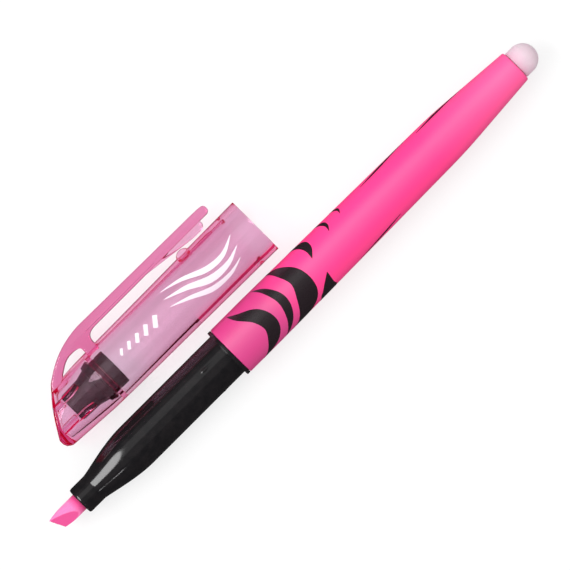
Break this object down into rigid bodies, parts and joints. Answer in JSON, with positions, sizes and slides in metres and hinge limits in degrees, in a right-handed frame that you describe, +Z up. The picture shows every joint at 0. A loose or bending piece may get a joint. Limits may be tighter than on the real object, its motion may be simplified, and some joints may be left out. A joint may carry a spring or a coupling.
{
  "type": "highlighter",
  "caption": "Chisel-tip highlighter laid down uncapped, its translucent clip cap beside it, with a friction eraser on the tail.",
  "frame": {"origin": "bottom centre of the whole, on the surface that the pen and cap lie on", "axes": "+X along the pen from nib to eraser, +Y from the pen to the cap, +Z up off the surface"},
  "size_m": [0.1344, 0.0306, 0.0129],
  "materials": {
    "pink_plastic": "opaque pink, satin gloss",
    "black_plastic": "glossy black moulding",
    "clear_pink_plastic": "polished transparent pink",
    "inked_felt": "dense sintered felt soaked with pink ink",
    "inked_fibre": "bundled fibre soaked with pink ink",
    "clear_film": "thin clear film",
    "pale_rubber": "pale, slightly translucent, matt"
  },
  "bodies": {
    "pen": {"grip_section": "black_plastic", "nib": "inked_felt", "ink_reservoir": "inked_fibre", "reservoir_film": "clear_film", "barrel": "pink_plastic", "eraser": "pale_rubber"},
    "cap": {"cap_shell": "clear_pink_plastic", "inner_cap": "black_plastic"},
    "clip": {"clip_arm": "clear_pink_plastic"}
  },
  "joints": [
    {"name": "cap_slide", "type": "slide", "parent": "pen", "child": "cap", "axis": [-1, 0, 0], "range_m": [0, 0.075]},
    {"name": "clip_flex", "type": "hinge", "parent": "cap", "child": "clip", "pos_m": [-0.03555, 0.0141, 0.00645], "axis": [0, 0, 1], "range_deg": [0, 4], "stiffness_Nm_per_rad": 2.5}
  ]
}
